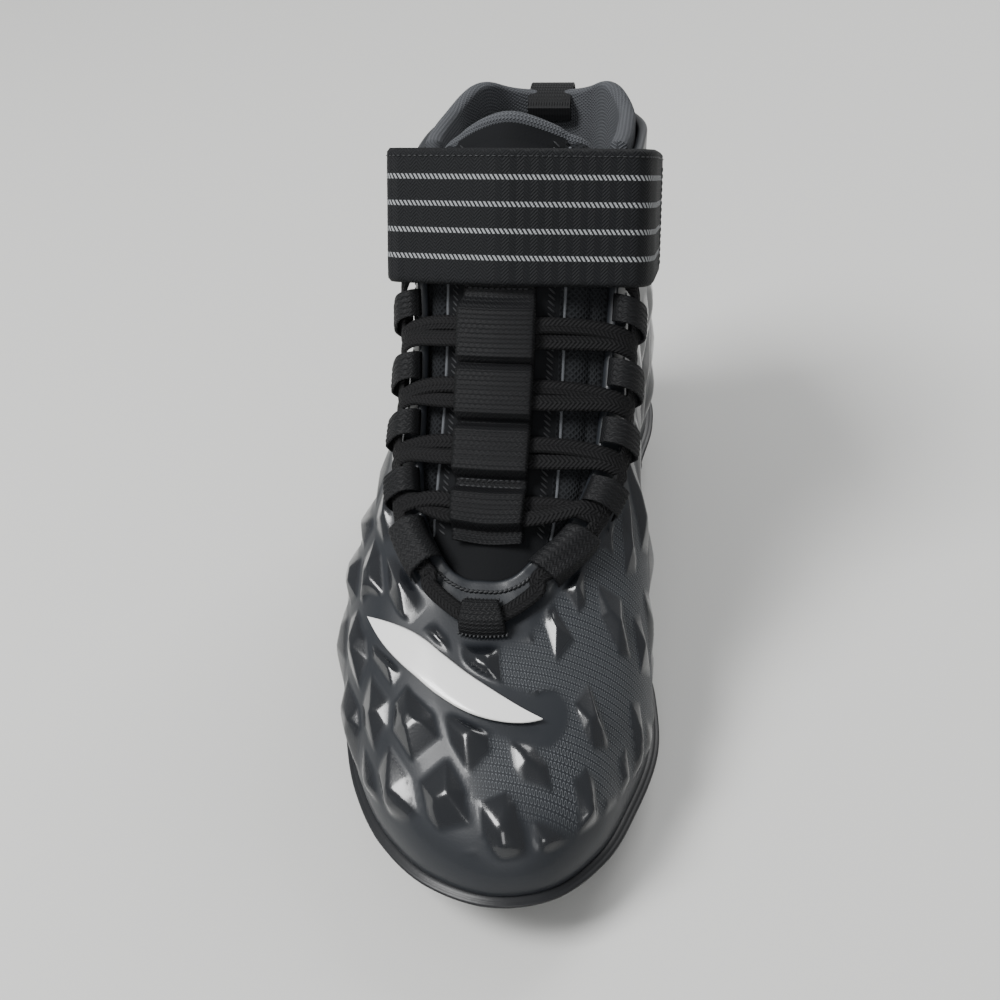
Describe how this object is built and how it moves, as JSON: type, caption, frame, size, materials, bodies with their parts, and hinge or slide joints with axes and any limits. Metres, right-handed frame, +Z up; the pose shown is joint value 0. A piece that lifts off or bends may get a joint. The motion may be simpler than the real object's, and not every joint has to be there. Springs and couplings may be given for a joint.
{
  "type": "american football cleat",
  "caption": "Mid-cut right football boot with a studded plate, hollow scaled upper, padded tongue and collar, webbing lace loops, flat lace and an elastic ankle strap.",
  "frame": {"origin": "centre of the bounding box on the floor plane that the studs stand on", "axes": "+Z up, the toe points to -Y and the heel to +Y, +X is the medial side"},
  "size_m": [0.1152, 0.2836, 0.1817],
  "materials": {
    "moulded_plate": "semi-matt moulded black",
    "scaled_skin": "glossy charcoal film over raised facets",
    "footbed": "matt foam with a fabric top",
    "tongue_mesh": "matt black mesh",
    "lining_knit": "matt grey knit",
    "webbing": "ribbed black webbing",
    "lace": "flat woven black lace",
    "strap_elastic": "black woven elastic with grey zigzag lines",
    "white_gloss": "glossy white film"
  },
  "bodies": {
    "root": {"outsole": "moulded_plate", "insole": "footbed", "upper": "scaled_skin", "tongue": "tongue_mesh", "collar_lining": "lining_knit", "lace": "lace", "lace_keeper": "webbing", "medial_loop_1": "webbing", "medial_loop_2": "webbing", "medial_loop_3": "webbing", "medial_loop_4": "webbing", "medial_loop_5": "webbing", "lateral_loop_1": "webbing", "lateral_loop_2": "webbing", "lateral_loop_3": "webbing", "lateral_loop_4": "webbing", "lateral_loop_5": "webbing", "vamp_loop": "webbing", "pull_tab": "webbing", "vamp_badge": "white_gloss", "ankle_strap": "strap_elastic"}
  },
  "joints": []
}
